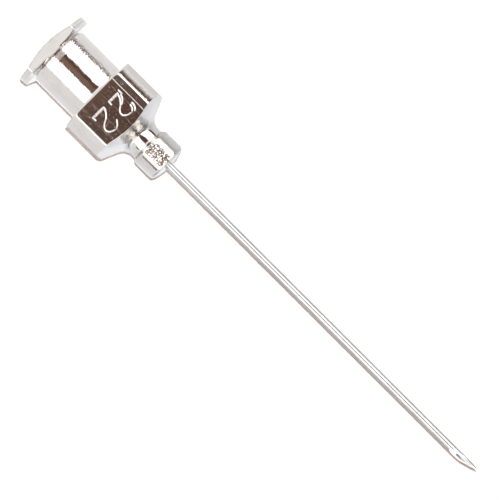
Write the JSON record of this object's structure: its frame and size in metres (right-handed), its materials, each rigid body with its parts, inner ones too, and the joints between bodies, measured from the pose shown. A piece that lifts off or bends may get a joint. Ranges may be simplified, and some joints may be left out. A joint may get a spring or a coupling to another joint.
{
  "type": "luer-lock dispensing needle",
  "caption": "Reusable dispensing needle: a turned and milled Luer-lock hub with a numbered flat, crimped on a thin steel tube with a lancet-ground point.",
  "frame": {"origin": "centre of the Luer socket's mouth, on the needle's axis", "axes": "+X along the needle towards its point, +Z out of the numbered flat, which is up when the needle lies on the flat behind it"},
  "size_m": [0.0541, 0.0078, 0.0078],
  "materials": {
    "nickel_plate": "polished",
    "stainless_tube": "polished"
  },
  "bodies": {
    "root": {"hub": "nickel_plate", "cannula": "stainless_tube"}
  },
  "joints": []
}
